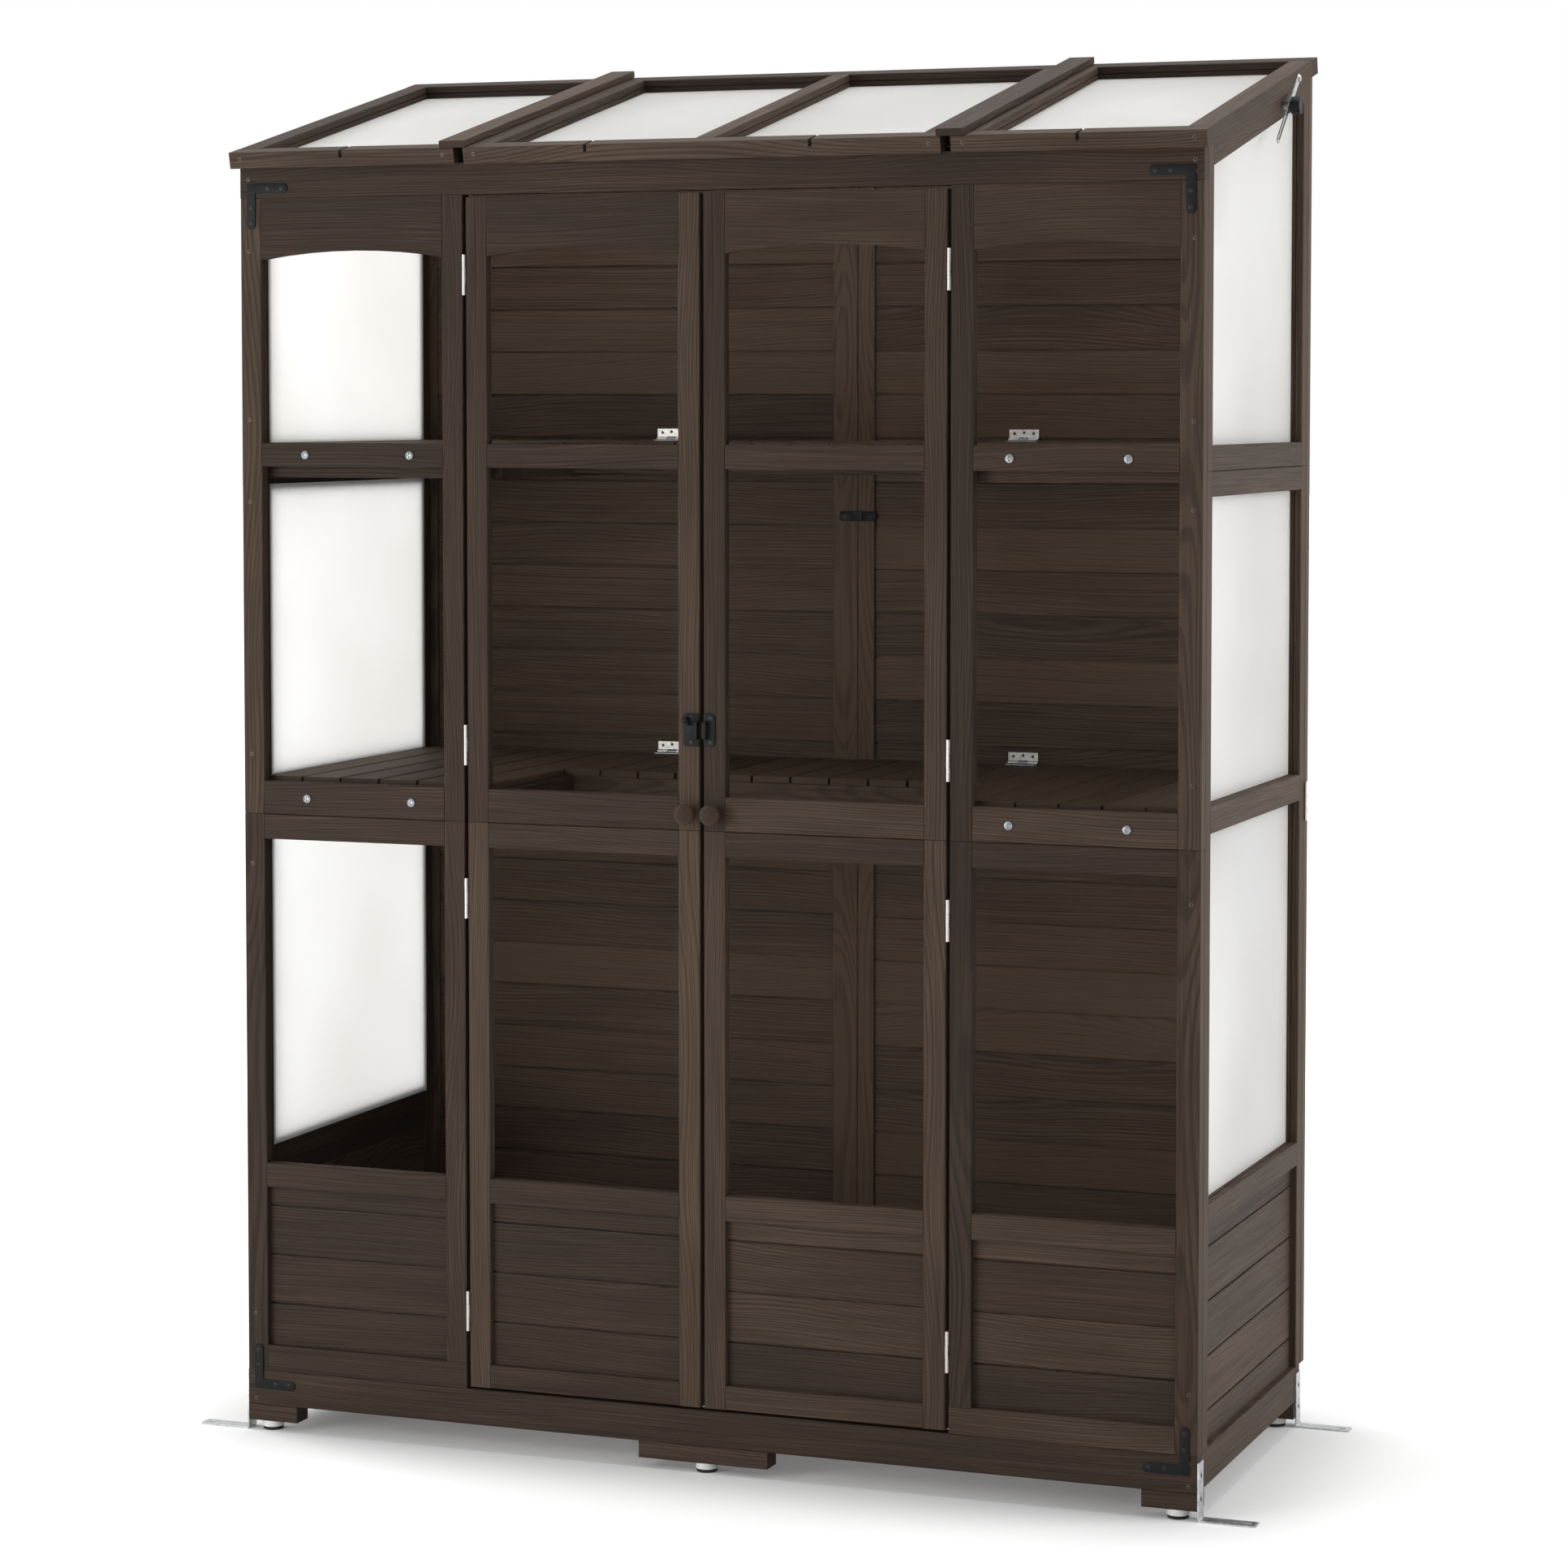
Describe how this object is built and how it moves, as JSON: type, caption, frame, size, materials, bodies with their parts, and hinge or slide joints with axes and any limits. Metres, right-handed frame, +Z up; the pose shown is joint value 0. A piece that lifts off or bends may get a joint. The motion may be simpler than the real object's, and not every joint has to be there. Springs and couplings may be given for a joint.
{
  "type": "lean-to cabinet greenhouse",
  "caption": "Upright lean-to cold frame greenhouse in stained timber with glazed hinged doors, opening roof lights on stays and slatted shelves.",
  "frame": {"origin": "on the floor, under the centre of the box over the whole object with its ground anchors, knobs and hinges", "axes": "+X to the right seen from the front, +Y from the doors to the back wall, +Z up"},
  "size_m": [1.59, 0.6322, 2.0095],
  "materials": {
    "stained_wood": "matt stain",
    "clear_glass": "clear",
    "translucent_sheet": "translucent",
    "black_steel": "satin",
    "black_plastic": "matt",
    "white_plastic": "matt",
    "galvanised_steel": "galvanised",
    "zinc_steel": "zinc plated"
  },
  "bodies": {
    "cabinet": {"bay_stiles": "stained_wood", "bay_rails": "stained_wood", "bay_panes": "clear_glass", "bay_boards": "stained_wood", "cross_rails": "stained_wood", "foot_blocks": "stained_wood", "foot_glides": "white_plastic", "side_stiles": "stained_wood", "side_rails": "stained_wood", "side_panes": "translucent_sheet", "side_boards": "stained_wood", "back_stiles": "stained_wood", "back_rails": "stained_wood", "back_boards": "stained_wood", "joint_plates": "black_steel", "ground_anchors": "galvanised_steel", "shelf_bearers": "stained_wood", "shelf_screws": "zinc_steel", "side_shelf_slats": "stained_wood", "fixed_leaves": "zinc_steel", "middle_roof_stiles": "stained_wood", "middle_roof_rails": "stained_wood", "middle_roof_panes": "translucent_sheet"},
    "left_door": {"left_door_stiles": "stained_wood", "left_door_rails": "stained_wood", "left_door_panes": "clear_glass", "left_door_boards": "stained_wood", "left_door_plates": "black_steel", "left_door_knob": "stained_wood", "left_door_leaves": "zinc_steel", "latch_case": "black_steel"},
    "left_light": {"left_light_stiles": "stained_wood", "left_light_rails": "stained_wood", "left_light_pane": "translucent_sheet", "left_light_fittings": "zinc_steel"},
    "left_stay": {"left_stay": "zinc_steel"},
    "left_stay_stud": {"left_stay_stud": "zinc_steel"},
    "left_stay_knob": {"left_stay_knob": "black_plastic"},
    "right_door": {"right_door_stiles": "stained_wood", "right_door_rails": "stained_wood", "right_door_panes": "clear_glass", "right_door_boards": "stained_wood", "right_door_plates": "black_steel", "right_door_knob": "stained_wood", "right_door_leaves": "zinc_steel", "latch_keeper": "black_steel"},
    "right_light": {"right_light_stiles": "stained_wood", "right_light_rails": "stained_wood", "right_light_pane": "translucent_sheet", "right_light_fittings": "zinc_steel"},
    "right_stay": {"right_stay": "zinc_steel"},
    "right_stay_stud": {"right_stay_stud": "zinc_steel"},
    "right_stay_knob": {"right_stay_knob": "black_plastic"},
    "latch_bolt": {"latch_bolt": "black_steel"},
    "lower_folding_shelf": {"lower_folding_slats": "stained_wood", "lower_folding_battens": "stained_wood", "lower_folding_leaves": "zinc_steel"},
    "upper_folding_shelf": {"upper_folding_slats": "stained_wood", "upper_folding_battens": "stained_wood", "upper_folding_leaves": "zinc_steel"}
  },
  "joints": [
    {"name": "left_door_swing", "type": "hinge", "parent": "cabinet", "child": "left_door", "pos_m": [-0.36075, -0.29013, 0.935], "axis": [0, 0, -1], "range_deg": [0, 170]},
    {"name": "left_light_lift", "type": "hinge", "parent": "cabinet", "child": "left_light", "pos_m": [-0.5455, 0.31362, 1.97643], "axis": [-1, 0, 0], "range_deg": [0, 30]},
    {"name": "left_stay_turn", "type": "hinge", "parent": "left_light", "child": "left_stay", "pos_m": [-0.7243, 0.18735, 1.95992], "axis": [1, 0, 0], "range_deg": [0, 51.7]},
    {"name": "left_stay_slide", "type": "slide", "parent": "left_stay", "child": "left_stay_stud", "axis": [0, -0.7794, -0.6265], "range_m": [0, 0.05642]},
    {"name": "left_stay_knob_turn", "type": "hinge", "parent": "left_stay_stud", "child": "left_stay_knob", "pos_m": [-0.736, 0.13542, 1.91817], "axis": [-1, 0, 0], "range_deg": [0, 180]},
    {"name": "right_door_swing", "type": "hinge", "parent": "cabinet", "child": "right_door", "pos_m": [0.36075, -0.29013, 0.935], "axis": [0, 0, 1], "range_deg": [0, 170]},
    {"name": "right_light_lift", "type": "hinge", "parent": "cabinet", "child": "right_light", "pos_m": [0.5455, 0.31362, 1.97643], "axis": [-1, 0, 0], "range_deg": [0, 30]},
    {"name": "right_stay_turn", "type": "hinge", "parent": "right_light", "child": "right_stay", "pos_m": [0.7243, 0.18735, 1.95992], "axis": [1, 0, 0], "range_deg": [0, 51.7]},
    {"name": "right_stay_slide", "type": "slide", "parent": "right_stay", "child": "right_stay_stud", "axis": [0, -0.7794, -0.6265], "range_m": [0, 0.05642]},
    {"name": "right_stay_knob_turn", "type": "hinge", "parent": "right_stay_stud", "child": "right_stay_knob", "pos_m": [0.736, 0.13542, 1.91817], "axis": [1, 0, 0], "range_deg": [0, 180]},
    {"name": "latch_bolt_slide", "type": "slide", "parent": "left_door", "child": "latch_bolt", "axis": [1, 0, 0], "range_m": [0, 0.01]},
    {"name": "lower_shelf_fold", "type": "hinge", "parent": "cabinet", "child": "lower_folding_shelf", "pos_m": [0, 0.29263, 0.96135], "axis": [-1, 0, 0], "range_deg": [0, 88]},
    {"name": "upper_shelf_fold", "type": "hinge", "parent": "cabinet", "child": "upper_folding_shelf", "pos_m": [0, 0.29263, 1.44435], "axis": [-1, 0, 0], "range_deg": [0, 88]}
  ],
  "couplings": [
    {"joint": "left_stay_turn", "follows": "left_light_lift", "ratio": 1.7234},
    {"joint": "left_stay_slide", "follows": "left_light_lift", "m_per_rad": 0.10775},
    {"joint": "right_stay_turn", "follows": "right_light_lift", "ratio": 1.7234},
    {"joint": "right_stay_slide", "follows": "right_light_lift", "m_per_rad": 0.10775}
  ]
}
